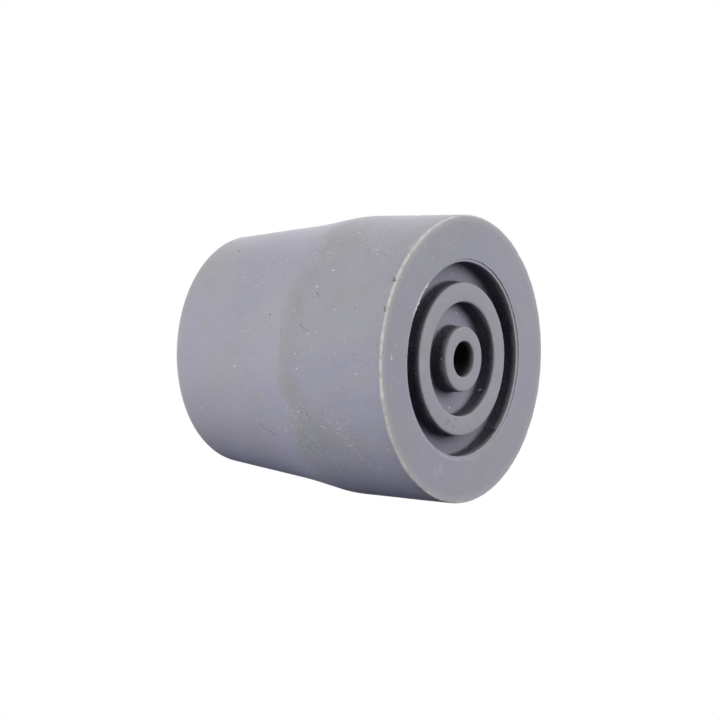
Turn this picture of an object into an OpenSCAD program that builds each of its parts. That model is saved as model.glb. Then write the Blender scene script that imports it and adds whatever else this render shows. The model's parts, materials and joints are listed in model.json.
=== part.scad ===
// Rubber tip for a walking cane: one moulded piece that stands on its tread,
// with the socket for the shaft opening upwards.
// Origin: centre of the tread, on the floor. +Z runs up the socket.

/* [Body] */
// Diameter of the foot, across the tread
foot_d = 38; // [34:0.5:46]
// Height from the tread to the mouth
total_h = 36.5; // [30:0.1:48]
// Outside diameter at the mouth
mouth_d = 30.7; // [27:0.1:36]
// Height of the band that stands almost straight above the tread
band_h = 15.3; // [12:0.1:19]
// Draft of the band, in degrees
band_draft = 1.5; // [0:0.1:3]
// Height of the flare that closes in above the band
flare_h = 6.4; // [4:0.1:8]
// Lean of the flare, in degrees
flare_lean = 11.3; // [8:0.1:14]
// Radius that rounds the shoulder between the band and the flare
shoulder_r = 17; // [1:1:20]
// Radius that eases the flare into the wall above it
neck_r = 60; // [10:5:80]
// Radius on the outer edge of the tread
foot_r = 0.4; // [0.2:0.1:1]

/* [Socket] */
// Diameter of the shaft that is pushed in
shaft_d = 22.2; // [19:0.1:24]
// How much narrower the socket is than the shaft, so that the rubber grips
grip = 0.4; // [0:0.1:1]
// Rubber between the end of the shaft and the tread
floor_t = 9; // [7:0.5:12]
// Radius in the bottom corner of the socket
socket_root_r = 1.5; // [0.5:0.1:3]
// Radius on the outer edge of the mouth
rim_r = 1.2; // [0.3:0.1:1.5]
// Radius on the inner edge of the mouth, which leads the shaft in
lead_in_r = 0.9; // [0.3:0.1:1.5]

/* [Tread] */
// Diameter of the blind hole in the boss
hole_d = 4.7; // [2:0.1:5.5]
// Depth of the blind hole
hole_depth = 5; // [3:0.5:5.5]
// Diameter of the boss in the middle
boss_d = 8.6; // [7.2:0.1:10]
// Width of the groove between the boss and the ring
inner_groove_w = 3.2; // [2:0.1:3.6]
// Width of the ring
ring_w = 2.6; // [2:0.1:3.5]
// How far the ring stands back from the plane of the tread
ring_setback = 0.2; // [0:0.05:0.5]
// Width of the groove between the ring and the land
outer_groove_w = 2.7; // [2:0.1:3.6]
// Depth of both grooves
groove_depth = 2.6; // [1.5:0.1:3.5]
// Draft of the groove walls, in degrees
groove_draft = 2; // [0:0.5:4]
// Radius in the bottom corners of the grooves
groove_root_r = 0.5; // [0.2:0.1:0.8]
// Radius on the edges of the ring, the boss and its hole
tread_edge_r = 0.3; // [0.1:0.05:0.5]
// Chamfer on the inner edge of the land
land_chamfer = 0.45; // [0.1:0.05:0.7]

/* [Hidden] */

// Largest turn that one straight step of a rounded corner may make, in degrees
arc_step = 12;
// Share of a side that the rounding at one of its ends may take up
side_share = 0.49;
// Smallest turn that is rounded at all, in degrees
least_turn = 0.2;

// Radii of the body, from the tread up
foot_radius = foot_d / 2;
shoulder_radius = foot_radius - band_h * tan(band_draft);
neck_radius = shoulder_radius - flare_h * tan(flare_lean);
mouth_radius = mouth_d / 2;
socket_radius = (shaft_d - grip) / 2;

// Radii of the tread, from the middle out
hole_radius = hole_d / 2;
boss_radius = boss_d / 2;
ring_inner = boss_radius + inner_groove_w;
ring_outer = ring_inner + ring_w;
land_inner = ring_outer + outer_groove_w;
groove_inset = groove_depth * tan(groove_draft);

// Corners of the half section, each [distance from the axis, height, radius of its rounding].
// Together they run round the rubber once, from the axis over the socket and the outside to
// the tread and back.
socket_corners = [
    [0, floor_t, 0],
    [socket_radius, floor_t, socket_root_r],
    [socket_radius, total_h, lead_in_r]
];
outside_corners = [
    [mouth_radius, total_h, rim_r],
    [neck_radius, band_h + flare_h, neck_r],
    [shoulder_radius, band_h, shoulder_r],
    [foot_radius, 0, foot_r],
    [land_inner + land_chamfer, 0, 0],
    [land_inner - land_chamfer * tan(groove_draft), land_chamfer, 0]
];
tread_corners = concat(
    groove_floor(ring_outer, land_inner),
    [[ring_outer, ring_setback, tread_edge_r], [ring_inner, ring_setback, tread_edge_r]],
    groove_floor(boss_radius, ring_inner),
    [[boss_radius, 0, tread_edge_r], [hole_radius, 0, tread_edge_r]],
    [[hole_radius, hole_depth, 0], [0, hole_depth, 0]]
);

// The two bottom corners of a groove that is inner to outer wide at the tread
function groove_floor(inner, outer) = [
    [outer - groove_inset, groove_depth, groove_root_r],
    [inner + groove_inset, groove_depth, groove_root_r]
];

function place(corner) = [corner.x, corner.y];
function unit(v) = v / norm(v);

// The corner at b as points: an arc of radius r that touches both of its sides, with a
// smaller radius where a side is too short for it
function rounded_corner(a, b, c, r) =
    let (
        back = unit(a - b),
        ahead = unit(c - b),
        turn = 180 - acos(back * ahead),
        room = min(norm(a - b), norm(c - b)) * side_share,
        reach = min(r * tan(turn / 2), room)
    )
    r == 0 || turn < least_turn ? [b] :
    let (
        fitted_r = reach / tan(turn / 2),
        centre = b + unit(back + ahead) * fitted_r / cos(turn / 2),
        start = b + back * reach - centre,
        first = atan2(start.y, start.x),
        sweep = turn * sign(cross(back, ahead)) * -1,
        steps = ceil(turn / arc_step)
    )
    [for (i = [0:steps]) let (t = first + sweep * i / steps) centre + fitted_r * [cos(t), sin(t)]];

// The whole outline, with every corner rounded between its neighbours
function rounded(corners) =
    let (last = len(corners) - 1)
    [
        for (i = [0:last])
            let (
                before = place(corners[i == 0 ? last : i - 1]),
                after = place(corners[i == last ? 0 : i + 1])
            )
            each rounded_corner(before, place(corners[i]), after, corners[i][2])
    ];

// The whole tip, moulded in one piece and turned from its half section
module cane_tip() {
    color([0.6, 0.6, 0.64])
    rotate_extrude($fn = 144)
    polygon(rounded(concat(socket_corners, outside_corners, tread_corners)));
}

cane_tip();
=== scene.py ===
import functools
import json
import math
from types import SimpleNamespace

import bpy
import numpy as np
from mathutils import Matrix, Vector


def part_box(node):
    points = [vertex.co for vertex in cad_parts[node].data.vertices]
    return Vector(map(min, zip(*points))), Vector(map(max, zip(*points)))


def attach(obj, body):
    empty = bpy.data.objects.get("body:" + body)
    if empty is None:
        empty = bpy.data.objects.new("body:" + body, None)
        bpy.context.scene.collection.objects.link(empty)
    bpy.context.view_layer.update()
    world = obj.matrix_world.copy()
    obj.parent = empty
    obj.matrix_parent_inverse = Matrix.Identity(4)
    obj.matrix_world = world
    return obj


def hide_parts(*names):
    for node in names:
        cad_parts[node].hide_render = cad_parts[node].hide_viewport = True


# A grey rubber cane tip that stands on its tread. The camera looks up at it from below the floor,
# so that the rings in the tread show, and the floor lets it through from underneath.

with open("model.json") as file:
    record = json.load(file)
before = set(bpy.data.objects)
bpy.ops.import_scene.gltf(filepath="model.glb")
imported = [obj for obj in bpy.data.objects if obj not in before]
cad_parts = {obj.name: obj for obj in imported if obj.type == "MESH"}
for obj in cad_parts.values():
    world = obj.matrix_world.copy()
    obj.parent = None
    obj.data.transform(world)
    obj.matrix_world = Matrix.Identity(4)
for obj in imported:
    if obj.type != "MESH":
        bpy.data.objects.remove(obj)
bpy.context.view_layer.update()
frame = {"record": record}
tipLow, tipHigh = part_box("cane_tip")

scene = bpy.context.scene
scene.view_settings.view_transform = "Standard"
mm = 0.001


# Shape of the rubber, in millimetres and degrees. Turns go from +X towards +Y.
tip = {
    "mouthRadius": 15.35,
    "bandHeight": 15.3, "bandDraft": 1.5,
    "flareHeight": 6.4, "flareLean": 11.3,
    "shoulderRounding": 17.0, "neckRounding": 60.0, "footRounding": 0.28,
    "socketFloor": 9.0, "socketRounding": 1.5, "rimRounding": 1.2, "rimEase": 0.3, "leadIn": 0.9,
    "holeRadius": 2.35, "holeDepth": 5.0, "holeEndRounding": 0.2,
    "bossRadius": 4.3, "innerGroove": 3.2, "ring": 2.6, "ringSetback": 0.2, "outerGroove": 2.7,
    "grooveDepth": 2.6, "grooveDraft": 2.0, "grooveRounding": 0.5,
    "edgeRounding": 0.28, "holeRounding": 0.22,
    # a fine step in the land's inner edge, with its slants and the roundings of its three corners
    "lipWidth": 0.40, "lipDepth": 0.20, "lipLean": 0.04, "lipRise": 0.02,
    "lipRounding": 0.07, "lipInnerRounding": 0.098, "lipFloorRounding": 0.028,
    # steps round the axis, longest steps along the section, and degrees in one step of an arc
    "segments": 480, "treadStep": 1.1, "outsideStep": 0.9, "socketStep": 4.0, "turnStep": 17.0,
    "fineReach": 0.9, "fineShare": 4,        # finer steps this near the crease
    "landMargin": 0.25, "footMargin": 0.6,   # extra points this near both edges of the land
    "rimPoints": 8,                          # points of the section that turn over the rim
}

# How the moulded and used rubber strays from the plain shape, in millimetres.
moulding = {
    "waveDepth": 0.022, "waves": 9, "seed": 7,
    "waveOffset": 0.7, "waveCounts": (1, 9), "waveAlong": (0.1, 0.7),
    "fadeRadius": 5,                         # inside this radius the waves fade towards the axis
    "creaseHeight": 16.9, "creaseDepth": 0.012, "creaseWidth": 0.4,
    "creaseSway": [(0.12, 2, 1), (0.07, 5, 2)],      # height, count and phase of each sway
    "footRagged": 0.06, "ringRagged": 0.02, "reach": 0.3, "ringReach": 0.2, "burrReach": 0.15,
    "nickTorn": 0.2, "burrTorn": 0.08,       # the depth or length from which rubber shows torn
    # Turn, width and depth of the nicks in the outer edge of the tread. The turns of these and of
    # the burrs are rounded from values that a separate program worked out.
    "nicks": [(319, 0.6, 0.22), (328, 2.6, 0.12), (338, 0.5, 0.14), (296, 0.5, 0.07),
              (262, 0.4, 0.06), (231, 0.7, 0.07), (205, 0.5, 0.06), (41, 0.8, 0.05)],
    # turn, width and length of the burrs on the inner edge of the land
    "burrs": [(315, 0.20, 0.10), (314, 0.28, 0.20), (311, 0.18, 0.08), (309, 0.22, 0.11),
              (306.5, 0.16, 0.09), (305, 0.20, 0.10), (302, 0.28, 0.27), (300.8, 0.16, 0.13),
              (298, 0.24, 0.20), (295.5, 0.16, 0.09), (293, 0.18, 0.09), (306, 1.2, 0.04),
              (298, 1.6, 0.04)],
}


def tangent(degrees):
    return math.tan(math.radians(degrees))


def roundedCorner(before, corner, after, radius, step):
    # The corner as points: an arc that touches both sides, so its centre lies on the line that
    # halves the angle, at radius / cos(half the turn) from the corner.
    corner = np.array(corner)
    back, ahead = np.array(before) - corner, np.array(after) - corner
    backLength, aheadLength = np.linalg.norm(back), np.linalg.norm(ahead)
    back, ahead = back / backLength, ahead / aheadLength
    turn = math.pi - math.acos(np.clip(back @ ahead, -1, 1))
    if radius == 0 or turn < 0.004:
        return corner[None, :]
    reach = min(radius * math.tan(turn / 2), 0.49 * min(backLength, aheadLength))
    radius = reach / math.tan(turn / 2)
    half = (back + ahead) / np.linalg.norm(back + ahead)
    centre = corner + half * radius / math.cos(turn / 2)
    steps = max(2, math.ceil(math.degrees(turn) / tip["turnStep"]), math.ceil(radius * turn / step))
    start = corner + back * reach - centre
    cross = back[0] * ahead[1] - back[1] * ahead[0]
    angles = np.linspace(0, -np.sign(cross) * turn, steps + 1)
    c, s = np.cos(angles), np.sin(angles)
    return centre + np.stack([c * start[0] - s * start[1], s * start[0] + c * start[1]], 1)


def sectionPoints(corners, step, fineHeight=None):
    # The line through the rounded corners, with extra points wherever two lie further apart than
    # the step: each stretch is divided evenly. Near fineHeight the step is a share of that.
    places = [c[:2] for c in corners]
    arcs = [np.array([places[0]])]
    for i in range(1, len(corners) - 1):
        arcs.append(roundedCorner(places[i - 1], places[i], places[i + 1], corners[i][2], step))
    arcs.append(np.array([places[-1]]))
    points = np.concatenate(arcs)
    parts = []
    for a, b in zip(points[:-1], points[1:]):
        reach = tip["fineReach"]
        fine = fineHeight is not None and a[1] < fineHeight + reach and b[1] > fineHeight - reach
        longest = step / tip["fineShare"] if fine else step
        count = max(1, math.ceil(np.linalg.norm(b - a) / longest))
        parts.append(a + (b - a) * (np.arange(count) / count)[:, None])
    return np.concatenate(parts + [points[-1:]])


def tipSection():
    # Half section of the rubber as [radius, height] in millimetres, from the middle of the tread
    # outwards, up the outside and down the socket. Returns the points, where the outside and the
    # socket start, and the sharp edges.
    t = tip
    footRadius = tipHigh.x / mm
    height = tipHigh.z / mm
    bore = next(m for m in frame["record"]["mounts"] if m["kind"] == "bore")
    socketRadius = bore["dims"]["r_mm"]
    shoulderRadius = footRadius - t["bandHeight"] * tangent(t["bandDraft"])
    neckRadius = shoulderRadius - t["flareHeight"] * tangent(t["flareLean"])
    ringInner = t["bossRadius"] + t["innerGroove"]
    ringOuter = ringInner + t["ring"]
    landInner = ringOuter + t["outerGroove"]
    inset = t["grooveDepth"] * tangent(t["grooveDraft"])
    landOuter = landInner + t["lipWidth"]

    def groove(inner, outer):
        return [[inner + inset, t["grooveDepth"], t["grooveRounding"]],
                [outer - inset, t["grooveDepth"], t["grooveRounding"]]]

    tread = [
        [0, t["holeDepth"], 0], [t["holeRadius"], t["holeDepth"], t["holeEndRounding"]],
        [t["holeRadius"], 0, t["holeRounding"]], [t["bossRadius"], 0, t["edgeRounding"]],
        *groove(t["bossRadius"], ringInner),
        [ringInner, t["ringSetback"], t["edgeRounding"]],
        [ringOuter, t["ringSetback"], t["edgeRounding"]],
        *groove(ringOuter, landInner),
        [landInner - t["lipDepth"] * tangent(t["grooveDraft"]), t["lipDepth"], t["lipInnerRounding"]],
        [landOuter - t["lipLean"], t["lipDepth"] - t["lipRise"], t["lipFloorRounding"]],
        [landOuter, 0, t["lipRounding"]], [landOuter + t["landMargin"], 0, 0],
        [footRadius - t["footMargin"], 0, 0],
    ]
    outside = [
        [footRadius - t["footMargin"], 0, 0], [footRadius, 0, t["footRounding"]],
        [shoulderRadius, t["bandHeight"], t["shoulderRounding"]],
        [neckRadius, t["bandHeight"] + t["flareHeight"], t["neckRounding"]],
        [t["mouthRadius"], height, t["rimRounding"]],
        [(t["mouthRadius"] + socketRadius) / 2, height, 0],
    ]
    socket = [
        [(t["mouthRadius"] + socketRadius) / 2, height, 0],
        [socketRadius, height, t["leadIn"]],
        [socketRadius, t["socketFloor"], t["socketRounding"]],
        [0, t["socketFloor"], 0],
    ]
    parts = [sectionPoints(tread, t["treadStep"]),
             sectionPoints(outside, t["outsideStep"], moulding["creaseHeight"]),
             sectionPoints(socket, t["socketStep"])]
    points = np.concatenate([parts[0][:-1], parts[1][:-1], parts[2]])
    starts = [len(parts[0]) - 1, len(parts[0]) + len(parts[1]) - 2]
    edges = {"foot": [(footRadius, 0)],
             "rings": [(t["holeRadius"], 0), (t["bossRadius"], 0), (ringInner, t["ringSetback"]),
                       (ringOuter, t["ringSetback"]), (landOuter, 0)],
             "rim": [(socketRadius + t["rimEase"], height), (t["mouthRadius"], height - t["rimEase"])]}
    return points, starts, edges


def sectionNormals(points):
    # Outward direction at each point: the direction of travel from the point before to the point
    # after, turned a quarter to the right, which is away from the rubber.
    along = np.empty_like(points)
    along[1:-1] = points[2:] - points[:-2]
    along[0], along[-1] = points[1] - points[0], points[-1] - points[-2]
    along /= np.linalg.norm(along, axis=1)[:, None]
    return np.stack([along[:, 1], -along[:, 0]], 1)


def bell(turn, centre, width, radius):
    # A bell along an edge: exp of minus the square of the way round the edge over the width.
    away = (turn - math.radians(centre) + math.pi) % (2 * math.pi) - math.pi
    return np.exp(-(away * radius / width) ** 2)


def nearEdge(section, edges, reach):
    # A bell across edges: exp of minus the square of the distance from the nearest over the reach.
    gaps = [np.linalg.norm(section - np.array(edge), axis=1) for edge in edges]
    return np.exp(-(np.min(gaps, axis=0) / reach) ** 2)[:, None]


def surfaceShift(section, starts, edges, turn):
    # How far each point moves along its normal, in millimetres: slow waves, which are sums of
    # cosines of the turn and of the way along the section, a crease above the shoulder, ragged
    # sharp edges and nicks. All of it goes inwards, so the part keeps its size.
    m = moulding
    rng = np.random.default_rng(m["seed"])
    way = np.concatenate([[0], np.cumsum(np.linalg.norm(np.diff(section, axis=0), axis=1))])[:, None]
    waves = np.zeros((len(section), len(turn)))
    for _ in range(m["waves"]):
        around, along = rng.integers(*m["waveCounts"]), rng.uniform(*m["waveAlong"])
        phase = rng.uniform(0, 2 * math.pi)
        waves += np.cos(around * turn + along * way + phase) / m["waves"]
    fade = np.clip(section[:, :1] / m["fadeRadius"], 0, 1)
    shift = -m["waveDepth"] * (m["waveOffset"] + waves) * fade
    rows = np.arange(len(section))
    outside = ((rows >= starts[0]) & (rows < starts[1]))[:, None]
    sway = sum(size * np.cos(count * turn + phase) for size, count, phase in m["creaseSway"])
    crease = np.exp(-((section[:, 1:] - m["creaseHeight"] - sway) / m["creaseWidth"]) ** 2)
    shift -= m["creaseDepth"] * crease * outside
    rough = rng.uniform(0, 1, (2, len(turn)))
    rough = (np.roll(rough, 1, 1) + 2 * rough + np.roll(rough, -1, 1)) / 4
    foot = nearEdge(section, edges["foot"], m["reach"])
    rings = nearEdge(section, edges["rings"], m["ringReach"])
    shift -= m["footRagged"] * foot * rough[0] + m["ringRagged"] * rings * rough[1]
    nicked = sum(depth * bell(turn, at, width, edges["foot"][0][0]) for at, width, depth in m["nicks"])
    shift -= foot * nicked
    return shift, foot * np.clip(nicked / m["nickTorn"], 0, 1)


def revolvedMesh(name, places):
    # places[i, j] is the point at section step i and turn j. Neighbours make quads, and the two
    # rows on the axis become one point each, joined by triangles.
    rows, turns = places.shape[:2]
    points = np.concatenate([places[0, :1], places[1:-1].reshape(-1, 3), places[-1, :1]])
    j = np.arange(turns)
    k = (j + 1) % turns
    i = np.arange(rows - 3)[:, None]
    a = 1 + i * turns + j
    b = 1 + i * turns + k
    quads = np.stack([a, a + turns, b + turns, b], 2).reshape(-1, 4)
    last = len(points) - 1
    first = np.stack([np.zeros(turns, int), 1 + j, 1 + k], 1)
    top = 1 + (rows - 3) * turns
    close = np.stack([top + j, np.full(turns, last), top + k], 1)
    mesh = bpy.data.meshes.new(name)
    mesh.vertices.add(len(points))
    mesh.vertices.foreach_set("co", points.astype(np.float32).ravel())
    corners = np.concatenate([first.ravel(), quads.ravel(), close.ravel()])
    counts = np.concatenate([np.full(turns, 3), np.full(len(quads), 4), np.full(turns, 3)])
    starts = np.concatenate([[0], np.cumsum(counts)[:-1]])
    mesh.loops.add(len(corners))
    mesh.loops.foreach_set("vertex_index", corners)
    mesh.polygons.add(len(counts))
    mesh.polygons.foreach_set("loop_start", starts)
    mesh.polygons.foreach_set("use_smooth", np.ones(len(counts), bool))
    mesh.update(calc_edges=True)
    mesh.validate()
    return mesh


section, sectionStarts, sharpEdges = tipSection()
footEdge = sharpEdges["foot"][0][0]
holeEdge, bossEdge, ringInnerEdge, ringOuterEdge, landEdge = (edge[0] for edge in sharpEdges["rings"])


def buildTip():
    # The section carried round the axis: x = radius * cos(turn), y = radius * sin(turn), and each
    # point moved along the section's normal by its shift. Burrs reach in over the outer groove.
    normals = sectionNormals(section)
    turn = np.arange(tip["segments"]) * (2 * math.pi / tip["segments"])
    shift, scarred = surfaceShift(section, sectionStarts, sharpEdges, turn)
    radius = section[:, :1] + normals[:, :1] * shift
    height = section[:, 1:] + normals[:, 1:] * shift
    lip = nearEdge(section, sharpEdges["rings"][-1:], moulding["burrReach"])
    burr = sum(length * bell(turn, at, width, landEdge) for at, width, length in moulding["burrs"])
    radius = radius - lip * burr
    places = np.stack([radius * np.cos(turn), radius * np.sin(turn), height], 2) * mm
    mesh = revolvedMesh("rubberTip", places)
    torn = np.maximum(np.clip(lip * burr / moulding["burrTorn"], 0, 1) ** 2, scarred)
    values = np.concatenate([[0], torn[1:-1].ravel(), [0]]).astype(np.float32)
    mesh.attributes.new("torn", "FLOAT", "POINT").data.foreach_set("value", values)
    piece = bpy.data.objects.new("rubber_tip", mesh)
    scene.collection.objects.link(piece)
    print("tip built:", len(mesh.vertices), "points,", len(mesh.polygons), "faces,", len(section), "rows")
    return piece


# Finish of the rubber: colours are linear, sizes in millimetres. A pair says where a finish starts
# and where it is full: heights count from the floor and distances from the axis, unless the
# comment beside the pair names an edge that they count from.
rubber = {
    "violetGrey": (0.326, 0.321, 0.386), "neutralGrey": (0.334, 0.329, 0.370),
    "coolGrey": (0.306, 0.317, 0.370), "coolStrength": 0.4,
    "warmGrey": (0.334, 0.328, 0.345), "warmStrength": 0.55,
    "cloudSize": 3.5, "cloudDepth": 0.055, "grainSize": 0.5, "grainDepth": 0.07,
    "outside": (-1.0, -0.8),            # distance, from the inner edge of the land
    # how outlines stray, how ragged specks are and how scratches bend: size and reach of the noise
    "stray": (2.2, 0.9), "ragged": (0.35, 0.35), "bend": (2.5, 1.2),
    # the grey band on the shoulder, and wider smudges below it: turn and how far they spread
    "shoulderGrey": (0.305, 0.304, 0.322), "shoulderTop": (17.1, 16.65), "shoulderFoot": (12.0, 14.8),
    "shoulderLeast": 0.2,
    "smudges": [(330, 30), (230, 24)], "smudgeTop": (17.0, 16.3), "smudgeFoot": (7.5, 12.5),
    "smudgeLeast": 0.25, "smudgeStrength": 0.5, "handledFoot": (1.0, 5.0), "turnFull": 0.4,
    # rim, rings and the edge of the tread
    "rimGrey": (0.333, 0.332, 0.350), "rimStrength": 0.6, "rimFrom": (-2.9, -0.9),   # from the mouth
    "ringGrey": (0.330, 0.323, 0.353), "ringStrength": 0.6, "ringHeight": (1.2, 0.5),
    "ringFrom": (0.8, 0.1),             # distance, from the outer edge of the ring
    "treadEdge": (0.338, 0.332, 0.352), "treadEdgeStrength": 0.7, "treadHeight": (0.3, 0.1),
    "treadEdgeFrom": (-2.6, -0.8),      # distance, from the edge of the foot
    "treadEdgeSide": (270, 100), "treadEdgeLeast": 0.3,
    # dirt and painted shade: a dark film on the groove floors and brown and then dark grime down their
    # walls, each partly painted shade, and painted shade in the hole
    "filmAndShade": (0.15, 0.151, 0.19), "filmAndShadeStrength": 0.78, "filmAndShadeLeast": 0.6,
    "filmAndShadeFrom": (0.2, -0.1), "wallsFrom": (-0.25, -0.35),       # distance, from the land's inner edge
    "filmAndShadeThicker": (0.0, 3.0),          # distance, from the inner edge of the ring
    "filmAndShadeDepth": (-0.7, -0.2), "wallsDepth": (0.0, -0.4),       # height, from the groove floors
    "brownGrimeAndShade": (0.17, 0.168, 0.165), "brownStrength": 0.6, "brownHeight": (0.22, 0.7),
    "grimeAndShade": (0.055, 0.056, 0.075), "grimeAndShadeStrength": 0.88, "grimeAndShadeHeight": (0.4, 1.2),
    "holeShade": (0.03, 0.03, 0.035), "holeStrength": 0.95, "holeHeight": (0.3, 1.9),
    "holeFrom": (0.35, 0.15), "holeEnd": (0.5, 0.2),            # from the wall and end of the hole
    "mottleStrength": 0.06, "mottleFrom": (-1.1, -0.7),         # distance, from the edge of the boss
    # pale wear, which on the foot, ring and rim edges is also painted highlight, as distances from the
    # edges that it lies on
    "wornAndHighlightGrey": (0.71, 0.70, 0.685), "footWearAndHighlight": (0.42, 0.16), "footStrength": 0.68, "footLeast": 0.5,
    "footStray": 0.3, "footMostSide": (228, 75), "footMost": 0.24,      # worn more round this turn
    "rubbedWear": (-1.2, -0.15), "rubbedStrength": 0.20,        # the softer pale band beside the foot line
    "ringWearAndHighlight": (0.2, 0.05), "ringWearAndHighlightStrength": 0.28,
    "lipWear": (0.19, 0.09), "lipSide": (303, 19), "tornStrength": 0.85,
    # dust, soot and fine bits: cell of the grid that they lie in, largest size and strength
    "dust": (0.70, 0.70, 0.70), "dustSpecks": (1.45, 0.105, 0.45),
    "soot": (0.014, 0.014, 0.016), "sootSpecks": (2.9, 0.11, 0.42), "speckLeast": 0.4,
    "bitCell": 0.5, "bitEdge": (0.20, 0.10), "bitStrength": 0.40, "bitTurn": (0.35, 0.45),
    "bitsHandled": 0.7, "bitsMottled": 0.35,
    # marks at set places
    "ballFull": 0.55, "paleStrength": 0.72, "darkStrength": 0.58, "smearStrength": 0.10,
    "olive": (0.085, 0.08, 0.05), "oliveStrength": 0.8, "stainStrength": 0.32,
    "unrollRadius": 17.0, "scratchGrey": (0.11, 0.11, 0.15), "scratchFull": 0.3,
    "streakStrength": 0.20, "streakSlant": (0.3, 0.7, 0.2), "streakStretch": (1, 2, 1),
    "scuffGrey": (0.24, 0.24, 0.27), "scuffStrength": 0.4, "scuffLine": (0.007, 0.002),
    "scuffSize": 6.0, "scuffSlant": (0.5, 0.2, 0), "scuffStretch": (1, 1, 4),
    "roughness": 0.62, "roughnessSpread": 0.14, "wallRoughness": 0.2, "specular": 0.09,
    "grainBump": 0.010, "cloudBump": 0.03,
}

# Noise that breaks the finishes into patches: size in millimetres, detail, and the two levels
# between which it comes in.
patches = {
    "neutral": (14, 2, 0.40, 0.60), "cool": (9, 2, 0.52, 0.64), "warm": (4.5, 2, 0.52, 0.64),
    "shoulder": (4.5, 3, 0.38, 0.60), "scuffs": (4, 2, 0.56, 0.66), "worn": (1.3, 3, 0.30, 0.58),
    "torn": (0.45, 3, 0.46, 0.60), "streaks": (0.55, 3, 0.55, 0.68), "handled": (3, 2, 0.44, 0.58),
    "specks": (8, 2, 0.42, 0.62), "bits": (5.5, 2, 0.52, 0.66), "mottle": (0.35, 3, 0.50, 0.66),
    "stains": (0.6, 3, 0.36, 0.60), "smears": (1.8, 3, 0.40, 0.62),
}

# Single specks and smears as the real tip has them: turn, height above the floor and size on the
# outside, and turn, radius, height and size on the tread. Most places here and in scratches are
# rounded from values that a separate program worked out. The sizes were chosen one by one.
marks = {
    "paleOutside": [(305, 10.8, 0.22), (263, 13.5, 0.18), (277, 12.0, 0.16), (269, 13.9, 0.14),
                    (262, 3.9, 0.16), (262, 25.1, 0.14), (239, 32.8, 0.15), (231, 1.2, 0.18),
                    (340, 0.4, 0.22), (235, 17.5, 0.15), (245, 14.2, 0.16), (208, 18.6, 0.20),
                    (214, 11.7, 0.20), (297, 12.3, 0.17), (328, 10.8, 0.17), (343, 13.5, 0.17)],
    "paleTread": [(268.6, 16.6, 0.0, 0.22), (270, 16.7, 0.0, 0.2), (14, 6.2, 2.6, 0.2),
                  (122, 7.5, 1.5, 0.24), (171, 6.5, 2.6, 0.18), (268, 4.3, 0.7, 0.16),
                  (258, 10.1, 0.8, 0.18)],
    "darkOutside": [(285, 19.3, 0.18), (324, 30.8, 0.18), (288, 5.2, 0.14), (294, 11.9, 0.12)],
    "darkTread": [(137, 12.8, 0.7, 0.48), (203, 10.2, 0.4, 0.26), (9, 12.2, 2.6, 0.22)],
    "oliveOutside": [(301.5, 0.6, 0.16), (300.8, 0.4, 0.20), (300, 0.3, 0.17),
                     (288.3, 0.5, 0.15), (287.5, 0.3, 0.15)],
    # wider and fainter stains of the same colour: turn, radius, height and size
    "stains": [(198, 8.6, 0.2, 0.34), (189, 9.0, 0.2, 0.42), (200, 9.0, 0.2, 0.30),
               (187, 8.0, 0.2, 0.26), (301, 18.9, 0.4, 0.55), (288, 18.9, 0.3, 0.5)],
    # wide faint patches: turn, radius, height and size
    "smears": [(320, 17.0, 0.0, 1.0), (324, 17.4, 0.0, 0.9), (329, 17.3, 0.0, 0.7),
               (262, 9.2, 0.2, 1.3), (256, 16.0, 0.0, 1.5), (198, 15.6, 0.0, 1.5)],
}

# Single scratches on the outside: turn and height of both ends, width and strength.
scratches = {
    "dark": [(236, 22.6, 233, 21.8, 0.15, 0.50), (233, 21.8, 231, 19.8, 0.14, 0.44),
             (280, 13.7, 279, 12.3, 0.13, 0.34), (294, 12.1, 292, 11.3, 0.12, 0.34),
             (246, 12.8, 242, 12.4, 0.12, 0.22), (247, 10.3, 245, 10.3, 0.12, 0.26),
             (312, 6.4, 318, 7.2, 0.10, 0.16), (35, 24, 44, 26.5, 0.12, 0.30),
             (80, 8, 86, 12.5, 0.12, 0.30), (130, 28, 138, 26, 0.12, 0.30),
             (170, 6, 162, 9, 0.12, 0.30)],
    "pale": [(235, 14, 232, 12.7, 0.13, 0.20), (240, 11, 239, 10.4, 0.14, 0.34),
             (239, 8.5, 240, 7.5, 0.13, 0.28), (231, 8, 232, 7, 0.13, 0.24),
             (298, 24.4, 301, 22.6, 0.12, 0.12), (277, 24.6, 278, 22.5, 0.12, 0.10),
             (60, 10, 63, 8, 0.13, 0.25), (150, 20, 154, 18.5, 0.13, 0.20)],
}


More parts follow.
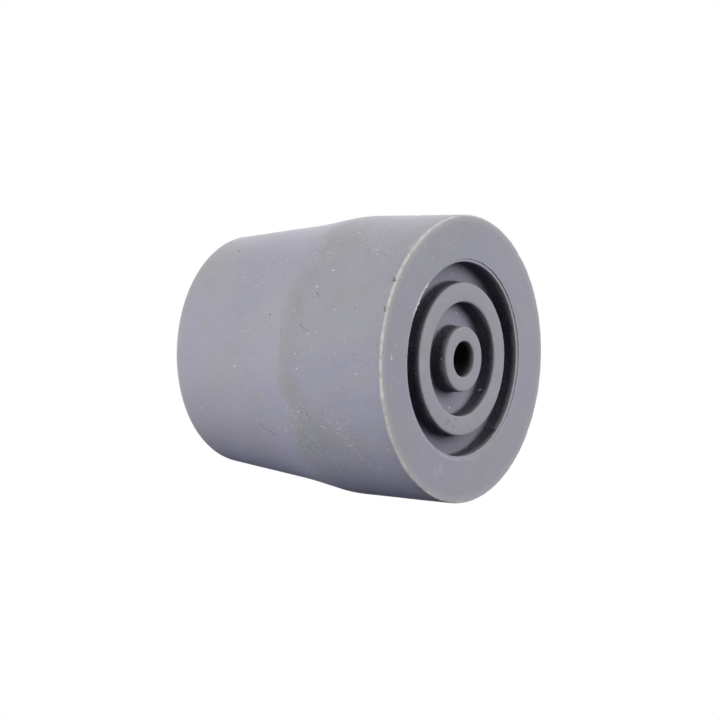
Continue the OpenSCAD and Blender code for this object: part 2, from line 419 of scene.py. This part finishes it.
def nodeTools(tree):
    # Short words for building a node tree. Each makes its nodes and returns what comes out.
    def put(kind, values, out=0, **settings):
        made = tree.nodes.new("ShaderNode" + kind)
        for name, setting in settings.items():
            setattr(made, name, setting)
        for key, value in values.items():
            if isinstance(value, bpy.types.NodeSocket):
                tree.links.new(value, made.inputs[key])
            else:
                made.inputs[key].default_value = value
        return made if out is None else made.outputs[out]

    def figure(operation, *values):
        return put("Math", dict(enumerate(values)), operation=operation)

    def times(*values):
        # all the values multiplied
        return functools.reduce(lambda a, b: figure("MULTIPLY", a, b), values)

    def most(values):
        # the largest of the values
        return functools.reduce(lambda a, b: figure("MAXIMUM", a, b), values)

    def atLeast(least, mask):
        # least + (1 - least) * mask
        return figure("MULTIPLY_ADD", mask, 1 - least, least)

    def vector(operation, *values, out="Vector"):
        return put("VectorMath", dict(enumerate(values)), out=out, operation=operation)

    def scaled(direction, factor):
        return put("VectorMath", {0: direction, "Scale": factor}, operation="SCALE")

    def between(value, low, high):
        # 0 at low and 1 at high, with a smooth step between; low may be the larger.
        return put("MapRange", {"Value": value, "From Min": low, "From Max": high},
                   interpolation_type="SMOOTHSTEP")

    def zone(value, pair, start=0.0):
        # The same for a value in metres and a pair in millimetres, counted from start.
        return between(value, (start + pair[0]) * mm, (start + pair[1]) * mm)

    def noise(place, size, detail=2.0, out=0):
        return put("TexNoise", {"Vector": place, "Scale": 1 / (size * mm), "Detail": detail}, out=out)

    def patch(place, name):
        size, detail, low, high = patches[name]
        return between(noise(place, size, detail), low, high)

    def cells(place, size):
        return put("TexVoronoi", {"Vector": place, "Scale": 1 / (size * mm)}, out=None).outputs

    def blend(amount, first, second):
        pair = [(*c, 1) if isinstance(c, tuple) else c for c in (first, second)]
        return put("Mix", {0: amount, 6: pair[0], 7: pair[1]}, out=2, data_type="RGBA")

    return SimpleNamespace(
        put=put, figure=figure, times=times, most=most, atLeast=atLeast, vector=vector, scaled=scaled,
        between=between, zone=zone, noise=noise, patch=patch, cells=cells, blend=blend)


def spotAt(turn, radius, height):
    # x = radius * cos(turn), y = radius * sin(turn), from degrees and millimetres to metres
    a = math.radians(turn)
    return radius * math.cos(a) * mm, radius * math.sin(a) * mm, height * mm


def outsideRadius(height):
    # The radius of the outside at a height, read off the section between the land and the rim.
    start, end = sectionStarts
    outline = section[start:end - tip["rimPoints"]]
    return np.interp(height, outline[:, 1], outline[:, 0])


def markPlaces(kind):
    # Marks on the outside take their radius from the section at their height.
    for turn, height, size in marks[kind + "Outside"]:
        yield turn, outsideRadius(height), height, size
    yield from marks.get(kind + "Tread", [])


def rubberPlaces(n):
    # What the finishes are laid out by, in metres: the point, its height, its distance and turn
    # from the axis, and each of them strayed by noise, so that no outline is a clean circle.
    # outside is 1 from the outer wall of the outer groove outwards, and 0 nearer to the axis.
    at = SimpleNamespace()
    at.place = n.put("TexCoord", {}, out="Object")
    axes = n.put("SeparateXYZ", {0: at.place}, out=None).outputs
    at.height = axes["Z"]
    at.turn = n.figure("ARCTAN2", axes["Y"], axes["X"])
    at.radius = n.vector("LENGTH", n.vector("MULTIPLY", at.place, (1, 1, 0)), out="Value")
    at.profile = n.put("CombineXYZ", {0: at.radius, 1: at.height})
    at.outside = n.zone(at.radius, rubber["outside"], landEdge)

    def strayed(size, reach):
        # each axis of a colour noise, less its middle, times the reach on that axis
        shift = n.vector("SUBTRACT", n.noise(at.place, size, 1.0, out="Color"), (0.5, 0.5, 0.5))
        return n.vector("MULTIPLY", shift, reach)

    size, reach = rubber["stray"]
    at.stray = n.times(n.figure("SUBTRACT", n.noise(at.place, size), 0.5), reach * mm)
    at.strayHeight = n.figure("ADD", at.height, at.stray)
    size, reach = rubber["ragged"]
    at.ragged = n.vector("ADD", at.place, strayed(size, (reach * mm,) * 3))
    size, reach = rubber["bend"]
    at.bend = strayed(size, (reach * mm, reach * mm, 0))
    return at


def edgeDistance(n, at, edges):
    # the distance from the nearest of the edges, in the section
    gaps = [n.vector("DISTANCE", at.profile, (radius * mm, height * mm, 0), out="Value")
            for radius, height in edges]
    return functools.reduce(lambda a, b: n.figure("MINIMUM", a, b), gaps)


def towards(n, at, turn, spread):
    # 1 in the direction of the turn and 0 beyond the spread on either side. The cosine of the angle
    # between is the point times the direction, over the point's distance from the axis.
    facing = n.vector("DOT_PRODUCT", at.place, tuple(Vector(spotAt(turn, 1, 0)) / mm), out="Value")
    facing = n.figure("DIVIDE", facing, at.radius)
    full = math.radians(spread * rubber["turnFull"])
    return n.between(facing, math.cos(math.radians(spread)), math.cos(full))


def speckMask(n, at, places):
    # 1 inside any of the small balls round the places, 0 outside
    balls = []
    for turn, radius, height, size in places:
        gap = n.vector("DISTANCE", at.ragged, spotAt(turn, radius, height), out="Value")
        balls.append(n.zone(gap, (size, rubber["ballFull"] * size)))
    return n.most(balls)


def scratchMask(n, at, lines):
    # The side laid out flat: the way round it, which is turn * radius, against height. A scratch is
    # what lies near a straight line from a to b there. The nearest point of the line is a plus the
    # line times the share of it that the place has gone along it.
    radius = rubber["unrollRadius"]
    flat = n.put("CombineXYZ", {0: n.times(at.turn, radius * mm), 1: at.height})
    flat = n.vector("ADD", flat, at.bend)
    found = []
    for turnA, heightA, turnB, heightB, width, strength in lines:
        a, b = (Vector((math.radians((turn + 180) % 360 - 180) * radius, height, 0)) * mm
                for turn, height in ((turnA, heightA), (turnB, heightB)))
        line = b - a
        share = n.vector("DOT_PRODUCT", flat, tuple(line), out="Value")
        share = n.put("MapRange", {"Value": share, "From Min": a @ line, "From Max": b @ line})
        nearest = n.vector("ADD", n.scaled(tuple(line), share), tuple(a))
        gap = n.vector("DISTANCE", flat, nearest, out="Value")
        found.append(n.times(n.zone(gap, (width, rubber["scratchFull"] * width)), strength))
    return n.times(n.most(found), at.outside)


def rubberMasks(n, at):
    # Masks that more than one finish uses.
    r = rubber
    m = SimpleNamespace()
    m.clouds = n.noise(at.place, r["cloudSize"], 3.0)
    m.grain = n.noise(at.place, r["grainSize"])
    sides = n.most([towards(n, at, *smudge) for smudge in r["smudges"]])
    m.smudged = n.times(sides, n.zone(at.height, r["smudgeTop"]), at.outside)
    m.handled = n.times(m.smudged, n.zone(at.strayHeight, r["handledFoot"]))
    # the walls of the grooves, where the brown and dark grime with painted shade lie
    inner = n.times(n.zone(at.radius, r["wallsFrom"], landEdge),
                    n.zone(at.height, r["wallsDepth"], tip["grooveDepth"]))
    m.brown = n.times(n.zone(at.height, r["brownHeight"]), inner)
    m.walls = n.times(n.zone(at.strayHeight, r["grimeAndShadeHeight"]), inner)
    m.mottled = n.times(m.brown, n.zone(at.radius, r["mottleFrom"], bossEdge))
    return m


def groundColour(n, at):
    # large soft patches, violet to neutral, with smaller cool and warm ones
    r = rubber
    colour = n.blend(n.patch(at.place, "neutral"), r["violetGrey"], r["neutralGrey"])
    for name in ("cool", "warm"):
        amount = n.times(n.patch(at.place, name), r[name + "Strength"])
        colour = n.blend(amount, colour, r[name + "Grey"])
    return colour


def shoulderColour(n, at, m, colour):
    # the neutral band on the shoulder: crisp above, soft below, broken into patches, with smudges
    r = rubber
    broken = n.patch(at.place, "shoulder")
    band = n.times(n.zone(at.strayHeight, r["shoulderTop"]), n.zone(at.strayHeight, r["shoulderFoot"]),
                   n.atLeast(r["shoulderLeast"], broken))
    smudge = n.times(m.smudged, n.zone(at.strayHeight, r["smudgeFoot"]),
                     n.atLeast(r["smudgeLeast"], broken), r["smudgeStrength"])
    return n.blend(n.times(n.most([band, smudge]), at.outside), colour, r["shoulderGrey"])


def treadColour(n, at, colour):
    # the rim of the mouth, the ring and boss, and the outer part of the tread
    r = rubber
    rim = n.times(n.zone(at.strayHeight, r["rimFrom"], tipHigh.z / mm), r["rimStrength"])
    colour = n.blend(rim, colour, r["rimGrey"])
    rings = n.times(n.zone(at.radius, r["ringFrom"], ringOuterEdge), n.zone(at.height, r["ringHeight"]),
                    r["ringStrength"])
    colour = n.blend(rings, colour, r["ringGrey"])
    outer = n.times(n.zone(at.radius, r["treadEdgeFrom"], footEdge), n.zone(at.height, r["treadHeight"]),
                    n.atLeast(r["treadEdgeLeast"], towards(n, at, *r["treadEdgeSide"])),
                    r["treadEdgeStrength"])
    return n.blend(outer, colour, r["treadEdge"])


def grooveDirtAndShade(n, at, m, colour):
    # dirt and painted shade: a film on the floors of the grooves and grime on their walls, each partly
    # painted shade, and painted shade, thicker, in the hole
    r = rubber
    below = n.zone(at.height, r["holeEnd"], tip["holeDepth"])
    filmAndShade = n.times(n.zone(at.radius, r["filmAndShadeFrom"], landEdge), below,
                   n.zone(at.height, r["filmAndShadeDepth"], tip["grooveDepth"]),
                   n.atLeast(r["filmAndShadeLeast"], n.zone(at.radius, r["filmAndShadeThicker"], ringInnerEdge)),
                   r["filmAndShadeStrength"])
    # floors and walls of the grooves made darker: dirt and painted shade
    colour = n.blend(filmAndShade, colour, r["filmAndShade"])
    colour = n.blend(n.times(m.brown, r["brownStrength"]), colour, r["brownGrimeAndShade"])
    colour = n.blend(n.times(m.walls, r["grimeAndShadeStrength"]), colour, r["grimeAndShade"])
    # the near black of the hole is painted shade
    hole = n.times(n.zone(at.radius, r["holeFrom"], holeEdge), below,
                   n.zone(at.strayHeight, r["holeHeight"]), r["holeStrength"])
    return n.blend(hole, colour, r["holeShade"])


def tonedColour(n, m, colour):
    # clouds and grain: the colour times 1 plus twice the depth of each noise less its middle
    r = rubber
    tone = n.figure("MULTIPLY_ADD", n.figure("SUBTRACT", m.clouds, 0.5), 2 * r["cloudDepth"], 1.0)
    tone = n.figure("MULTIPLY_ADD", n.figure("SUBTRACT", m.grain, 0.5), 2 * r["grainDepth"], tone)
    return n.scaled(colour, tone)


def scuffedColour(n, at, colour):
    # scuffs: the lines where a stretched noise crosses its middle, here and there
    r = rubber
    stretched = n.put("Mapping", {0: at.place, "Rotation": r["scuffSlant"], "Scale": r["scuffStretch"]})
    line = n.figure("ABSOLUTE", n.figure("SUBTRACT", n.noise(stretched, r["scuffSize"], 1.0), 0.5))
    scuff = n.times(n.between(line, *r["scuffLine"]), n.patch(at.place, "scuffs"), r["scuffStrength"])
    return n.blend(scuff, colour, r["scuffGrey"])


def wornAndHighlightColour(n, at, colour):
    # pale worn edges, which on the foot, the rings and the mouth are also painted highlight: the foot
    # most, the rings and the mouth less, and the torn inner edge of the land
    r = rubber
    worn = n.patch(at.place, "worn")
    gap = n.figure("ADD", edgeDistance(n, at, sharpEdges["foot"]), n.times(at.stray, r["footStray"]))
    most = n.figure("MULTIPLY_ADD", towards(n, at, *r["footMostSide"]), r["footMost"], r["footStrength"])
    # the pale foot line: wear, and a painted highlight
    foot = n.times(n.zone(gap, r["footWearAndHighlight"]), n.atLeast(r["footLeast"], worn), most)
    gap = edgeDistance(n, at, sharpEdges["rings"] + sharpEdges["rim"])
    # the pale line on the ring and rim edges: wear, and a painted highlight
    rings = n.times(n.zone(gap, r["ringWearAndHighlight"]), worn, r["ringWearAndHighlightStrength"])
    low, high = ((footEdge + distance) * mm for distance in r["rubbedWear"])
    rubbed = n.put("MapRange", {"Value": at.radius, "From Min": low, "From Max": high,
                                "To Max": r["rubbedStrength"]})
    rubbed = n.times(rubbed, n.zone(at.height, r["treadHeight"]))
    colour = n.blend(n.most([foot, rings, rubbed]), colour, r["wornAndHighlightGrey"])
    lip = n.times(n.zone(edgeDistance(n, at, sharpEdges["rings"][-1:]), r["lipWear"]),
                  towards(n, at, *r["lipSide"]), n.patch(at.place, "torn"))
    return n.blend(lip, colour, r["dust"])


def scratchedColour(n, at, m, colour):
    # single scratches, and pale streaks rubbed into the side where hands have held it
    r = rubber
    colour = n.blend(scratchMask(n, at, scratches["dark"]), colour, r["scratchGrey"])
    colour = n.blend(scratchMask(n, at, scratches["pale"]), colour, r["dust"])
    slanted = n.put("Mapping", {0: at.place, "Rotation": r["streakSlant"], "Scale": r["streakStretch"]})
    streaks = n.times(n.patch(slanted, "streaks"), m.handled, n.patch(at.place, "handled"),
                      r["streakStrength"])
    return n.blend(streaks, colour, r["dust"])


def dustyColour(n, at, m, colour):
    # Dust and soot: small balls at random points of a grid, where they meet the surface. A ball's
    # size is its cell's random number times the largest, and less away from the patches. The dirt
    # and painted shade on the walls of the grooves are mottled with the same dust.
    r = rubber
    cluster = n.atLeast(r["speckLeast"], n.patch(at.place, "specks"))
    for name in ("soot", "dust"):
        cell, size, strength = r[name + "Specks"]
        ball = n.cells(at.ragged, cell)
        chance = n.put("SeparateColor", {0: ball["Color"]}, out="Red")
        limit = n.times(chance, cluster, 2 * size / cell)
        inside = n.between(ball["Distance"], limit, n.times(limit, 0.5))
        colour = n.blend(n.times(inside, strength), colour, r[name])
    mottle = n.times(m.mottled, n.patch(at.place, "mottle"), r["mottleStrength"])
    return n.blend(mottle, colour, r["dust"])


def bittyColour(n, at, m, colour):
    # fine bits, light and dark, in clusters, where it was handled and on the walls of the grooves
    r = rubber
    cluster = n.most([n.patch(at.place, "bits"), n.times(m.handled, r["bitsHandled"]),
                      n.times(m.mottled, r["bitsMottled"])])
    bit = n.cells(at.place, r["bitCell"])
    shade = n.put("SeparateColor", {0: bit["Color"]}, out="Green")
    bitColour = n.blend(n.between(shade, *r["bitTurn"]), r["soot"], r["dust"])
    amount = n.times(n.between(bit["Distance"], *r["bitEdge"]), cluster, r["bitStrength"])
    return n.blend(amount, colour, bitColour)


def markedColour(n, at, colour):
    # the marks at set places, and the nicks and burrs that the piece's own attribute marks as torn
    r = rubber
    dark = n.times(speckMask(n, at, markPlaces("dark")), r["darkStrength"])
    colour = n.blend(dark, colour, r["soot"])
    olive = n.times(speckMask(n, at, markPlaces("olive")), r["oliveStrength"])
    colour = n.blend(olive, colour, r["olive"])
    stains = n.times(speckMask(n, at, marks["stains"]), n.patch(at.place, "stains"), r["stainStrength"])
    colour = n.blend(stains, colour, r["olive"])
    smears = n.times(speckMask(n, at, marks["smears"]), n.patch(at.place, "smears"), r["smearStrength"])
    colour = n.blend(smears, colour, r["dust"])
    pale = n.times(speckMask(n, at, markPlaces("pale")), r["paleStrength"])
    torn = n.put("Attribute", {}, out="Fac", attribute_name="torn")
    return n.blend(n.most([pale, n.times(torn, r["tornStrength"])]), colour, r["dust"])


def buildRubber():
    material = bpy.data.materials.new("matteGreyRubber")
    material.use_nodes = True
    shader = material.node_tree.nodes["Principled BSDF"]
    n = nodeTools(material.node_tree)
    at = rubberPlaces(n)
    m = rubberMasks(n, at)
    r = rubber
    colour = shoulderColour(n, at, m, groundColour(n, at))
    colour = grooveDirtAndShade(n, at, m, treadColour(n, at, colour))
    colour = wornAndHighlightColour(n, at, scuffedColour(n, at, tonedColour(n, m, colour)))
    colour = dustyColour(n, at, m, scratchedColour(n, at, m, colour))
    colour = markedColour(n, at, bittyColour(n, at, m, colour))
    clouds = n.figure("SUBTRACT", m.clouds, 0.5)
    rough = n.figure("MULTIPLY_ADD", clouds, r["roughnessSpread"], r["roughness"])
    rough = n.figure("MULTIPLY_ADD", m.walls, r["wallRoughness"], rough)
    slow = n.put("Bump", {"Height": m.clouds, "Distance": r["cloudBump"] * mm, "Strength": 1.0})
    fine = n.put("Bump", {"Height": m.grain, "Distance": r["grainBump"] * mm, "Strength": 1.0,
                          "Normal": slow})
    for name, value in (("Base Color", colour), ("Roughness", rough), ("Normal", fine)):
        material.node_tree.links.new(value, shader.inputs[name])
    shader.inputs["Specular IOR Level"].default_value = r["specular"]
    return material


tipPiece = buildTip()
tipPiece.data.materials.append(buildRubber())
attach(tipPiece, "root")
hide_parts("cane_tip")
print("rubber finished:", len(tipPiece.data.materials[0].node_tree.nodes), "nodes")


# The room: a pale floor that is there only from above, and a white world behind everything.
studio = {
    "cardAt": -0.03, "cardLow": -0.12, "cardHigh": 0.5, "cardBlack": (0.01, 0.01, 0.01),
    "floorDrop": 0.00015, "floorRadius": 0.30, "floorSides": 96, "floorGrey": (0.86, 0.86, 0.86),
    "fadeFrom": 0.05, "fadeTo": 0.16,
    "ambient": (0.58, 0.65, 1.0), "ambientStrength": 0.052,
}


def buildFloor():
    # A disc seen only from above. Its light from the lamps fades into the white of the world with
    # the distance from the middle, so it has no rim, and near the tip it keeps the shadow.
    sides = studio["floorSides"]
    turns = np.arange(sides) * (2 * math.pi / sides)
    ring = np.stack([np.cos(turns), np.sin(turns)], 1) * studio["floorRadius"]
    points = [(x, y, tipLow.z - studio["floorDrop"]) for x, y in ring]
    mesh = bpy.data.meshes.new("floor")
    mesh.from_pydata(points, [], [tuple(range(sides))])
    floor = bpy.data.objects.new("floor", mesh)
    scene.collection.objects.link(floor)
    material = bpy.data.materials.new("paleFloor")
    material.use_nodes = True
    material.node_tree.nodes.clear()
    n = nodeTools(material.node_tree)
    away = n.vector("LENGTH", n.put("TexCoord", {}, out="Object"), out="Value")
    lit = n.put("BsdfDiffuse", {"Color": (*studio["floorGrey"], 1)})
    through = n.put("BsdfTransparent", {})
    below = n.put("NewGeometry", {}, out="Backfacing")
    clear = n.most([below, n.between(away, studio["fadeFrom"], studio["fadeTo"])])
    mixed = n.put("MixShader", {0: clear, 1: lit, 2: through})
    n.put("OutputMaterial", {"Surface": mixed}, out=None)
    mesh.materials.append(material)
    for ray in ("diffuse", "glossy", "shadow", "transmission"):
        setattr(floor, "visible_" + ray, False)


def buildCard():
    # A black card beside the tip, seen in reflections only, so that side keeps a dark edge.
    x, low, high = studio["cardAt"], studio["cardLow"], studio["cardHigh"]
    mesh = bpy.data.meshes.new("card")
    corners = [(x, low, low), (x, high, low), (x, high, high), (x, low, high)]
    mesh.from_pydata(corners, [], [(0, 1, 2, 3)])
    card = bpy.data.objects.new("card", mesh)
    scene.collection.objects.link(card)
    material = bpy.data.materials.new("blackCard")
    material.use_nodes = True
    shader = material.node_tree.nodes["Principled BSDF"]
    shader.inputs["Base Color"].default_value = (*studio["cardBlack"], 1)
    shader.inputs["Roughness"].default_value = 1.0
    shader.inputs["Specular IOR Level"].default_value = 0.0
    mesh.materials.append(material)
    for ray in ("camera", "diffuse", "shadow", "transmission"):
        setattr(card, "visible_" + ray, False)


def buildWorld():
    # Seen straight, in a reflection or through glass the world is white. The light it gives is dim.
    world = bpy.data.worlds.new("studio")
    scene.world = world
    world.use_nodes = True
    world.node_tree.nodes.clear()
    n = nodeTools(world.node_tree)
    path = n.put("LightPath", {}, out=None).outputs
    seen = n.most([path[ray] for ray in ("Is Camera Ray", "Is Glossy Ray", "Is Transmission Ray")])
    light = n.put("Background", {"Color": (*studio["ambient"], 1), "Strength": studio["ambientStrength"]})
    white = n.put("Background", {"Color": (1, 1, 1, 1), "Strength": 1.0})
    mixed = n.put("MixShader", {0: seen, 1: light, 2: white})
    n.put("OutputWorld", {"Surface": mixed}, out=None)


# Soft round lamps. turn is measured from the front, -Y, towards +X, and rise is above the floor.
# The directions, powers and tints began as a fit that a separate program made, and most were
# then changed one by one.
lamps = {
    "softFront": {"turn": 12, "rise": 0, "watts": 1.04, "tint": (0.98, 1.0, 0.82)},
    "softSky": {"turn": 0, "rise": 30, "watts": 0.95, "tint": (1.04, 1.01, 1.14)},
    "softLow": {"turn": -46, "rise": 45, "watts": 0.25, "tint": (0.47, 0.49, 1.0)},
    "softSide": {"turn": 105, "rise": 12, "watts": 0.68, "tint": (1.0, 1.0, 0.98)},
    "softHigh": {"turn": 135, "rise": 35, "watts": 0.78, "tint": (1.02, 1.0, 1.04)},
    "softTop": {"turn": 0, "rise": 85, "watts": 0.70, "tint": (1.0, 1.0, 1.0)},
    "softFar": {"turn": 177, "rise": 30, "watts": 0.78, "tint": (1.0, 1.0, 1.0)},
    "softBelow": {"turn": 150, "rise": -65, "watts": 1.29, "tint": (1.0, 1.0, 1.0)},
    "softUnder": {"turn": 90, "rise": -60, "watts": 0.63, "tint": (1.0, 1.0, 1.0)},
}
lampSize = 0.30
lampDistance = 0.45


def buildLamps():
    # direction = (sin turn * cos rise, -cos turn * cos rise, sin rise), and each lamp stands at its
    # distance that way from the middle of the tip and faces it.
    middle = (tipLow + tipHigh) / 2
    for name, lamp in lamps.items():
        data = bpy.data.lights.new(name, "AREA")
        data.shape = "DISK"
        data.size = lampSize
        data.energy = lamp["watts"]
        data.color = lamp["tint"]
        holder = bpy.data.objects.new(name, data)
        turn, rise = math.radians(lamp["turn"]), math.radians(lamp["rise"])
        level = math.cos(rise)
        direction = Vector((math.sin(turn) * level, -math.cos(turn) * level, math.sin(rise)))
        holder.location = middle + direction * lampDistance
        holder.rotation_euler = direction.to_track_quat("Z", "Y").to_euler()
        holder.visible_camera = False
        scene.collection.objects.link(holder)


# The camera: lens in millimetres, distances and target in metres, angles in degrees.
view = {
    "lens": 172.3, "distance": 0.462, "elevation": -35.46, "roll": -87.22,
    "target": (-0.00076, 0.0, 0.01677), "clipStart": 0.01, "clipEnd": 20,
}


def buildCamera():
    # The camera stands at distance * (0, -cos elevation, sin elevation) from the target, looks back
    # at it and is rolled about that line.
    data = bpy.data.cameras.new("camera")
    data.lens = view["lens"]
    data.clip_start = view["clipStart"]
    data.clip_end = view["clipEnd"]
    camera = bpy.data.objects.new("camera", data)
    elevation = math.radians(view["elevation"])
    away = Vector((0, -math.cos(elevation), math.sin(elevation)))
    camera.location = Vector(view["target"]) + away * view["distance"]
    rolled = Matrix.Rotation(math.radians(view["roll"]), 3, "Z")
    camera.rotation_euler = ((-away).to_track_quat("-Z", "Y").to_matrix() @ rolled).to_euler()
    scene.collection.objects.link(camera)
    scene.camera = camera


buildFloor()
buildCard()
buildWorld()
buildLamps()
buildCamera()
print("stage, lamps and camera set")
